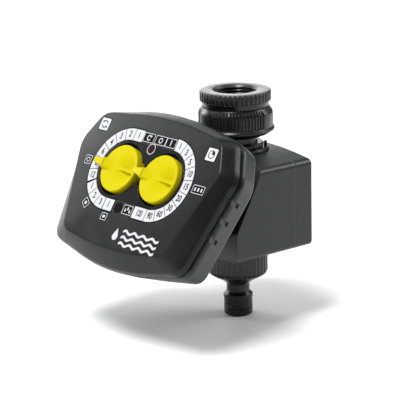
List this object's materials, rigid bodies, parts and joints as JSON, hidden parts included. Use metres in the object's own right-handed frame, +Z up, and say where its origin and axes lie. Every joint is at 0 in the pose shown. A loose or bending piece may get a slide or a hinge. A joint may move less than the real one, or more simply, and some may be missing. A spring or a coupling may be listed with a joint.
{
  "type": "drip irrigation timer",
  "caption": "Tap-mounted drip irrigation timer with a tilted two-dial control head on a valve housing, a threaded tap inlet and a push-fit hose outlet.",
  "frame": {"origin": "on the water axis at the top end of the inlet thread, where the tap screws in", "axes": "+Z up along the water axis out of the inlet, -Y towards the front where the tilted control head is, +X to the right as seen from the front"},
  "size_m": [0.1334, 0.1194, 0.1348],
  "materials": {
    "connector_black": "moulded black plastic, satin to glossy",
    "housing_grey": "charcoal plastic with a fine mould texture",
    "panel_grey": "mid-grey plastic with a fine grain",
    "well_black": "smooth black plastic",
    "dial_yellow": "bright yellow moulded plastic",
    "rubber_black": "soft black rubber",
    "screw_steel": "zinc-plated steel",
    "spring_steel": "stainless spring wire",
    "contact_brass": "plated brass",
    "valve_plastic": "glass-filled black nylon",
    "strainer_white": "fine white nylon mesh",
    "coil_copper": "resin-coated winding",
    "board_green": "lacquered circuit board",
    "chip_black": "black moulded parts",
    "lens_clear": "dark translucent light pipe",
    "led_white": "LED housing",
    "battery_case": "painted steel jacket"
  },
  "bodies": {
    "valve": {"front_housing": "housing_grey", "rear_cover": "housing_grey", "cover_screws": "screw_steel", "dock_contacts": "contact_brass", "valve_body": "valve_plastic", "diaphragm": "rubber_black", "valve_bonnet": "valve_plastic", "diaphragm_spring": "spring_steel", "bonnet_screws": "screw_steel", "core_tube": "valve_plastic", "solenoid_coil": "coil_copper", "solenoid_yoke": "screw_steel", "plunger_spring": "spring_steel", "latch_magnet": "screw_steel", "inlet_spout": "connector_black", "inlet_washer": "rubber_black", "inlet_strainer": "strainer_white", "retaining_ring": "connector_black", "outlet_washer": "rubber_black", "outlet_spigot": "connector_black", "spigot_seal": "rubber_black"},
    "inlet_nut": {"inlet_union_nut": "connector_black", "thread_reducer": "connector_black", "reducer_washer": "rubber_black"},
    "outlet_nut": {"outlet_union_nut": "connector_black"},
    "control_head": {"head_front_shell": "panel_grey", "head_rear_shell": "housing_grey", "head_seal": "rubber_black", "head_screws": "screw_steel", "dial_well": "well_black", "knob_seals": "rubber_black", "interval_switch": "chip_black", "duration_switch": "chip_black", "circuit_board": "board_green", "board_components": "chip_black", "status_lens": "lens_clear", "status_led": "led_white", "battery_bay": "housing_grey", "head_contacts": "contact_brass"},
    "interval_dial": {"interval_knob": "dial_yellow", "interval_shaft": "valve_plastic"},
    "duration_dial": {"duration_knob": "dial_yellow", "duration_shaft": "valve_plastic"},
    "drawer": {"battery_drawer": "housing_grey", "battery": "battery_case", "battery_clip": "chip_black"},
    "plunger": {"solenoid_plunger": "spring_steel"}
  },
  "joints": [
    {"name": "inlet_nut_turn", "type": "hinge", "parent": "valve", "child": "inlet_nut", "pos_m": [0, 0, -0.017], "axis": [0, 0, 1], "continuous": true},
    {"name": "outlet_nut_turn", "type": "hinge", "parent": "valve", "child": "outlet_nut", "pos_m": [0, 0, -0.1], "axis": [0, 0, 1], "continuous": true},
    {"name": "head_slide", "type": "slide", "parent": "valve", "child": "control_head", "axis": [0, -0.8643, 0.503], "range_m": [0, 0.03]},
    {"name": "interval_turn", "type": "hinge", "parent": "control_head", "child": "interval_dial", "pos_m": [-0.0175, -0.07146, -0.03726], "axis": [0, -0.8358, 0.549], "range_deg": [-100, 100]},
    {"name": "duration_turn", "type": "hinge", "parent": "control_head", "child": "duration_dial", "pos_m": [0.0175, -0.07146, -0.03726], "axis": [0, -0.8358, 0.549], "continuous": true},
    {"name": "drawer_slide", "type": "slide", "parent": "control_head", "child": "drawer", "axis": [0, -0.503, -0.8643], "range_m": [0, 0.033]},
    {"name": "plunger_slide", "type": "slide", "parent": "valve", "child": "plunger", "axis": [-1, 0, 0], "range_m": [0, 0.0018], "stiffness_N_per_m": 120, "springref_m": -0.004}
  ]
}
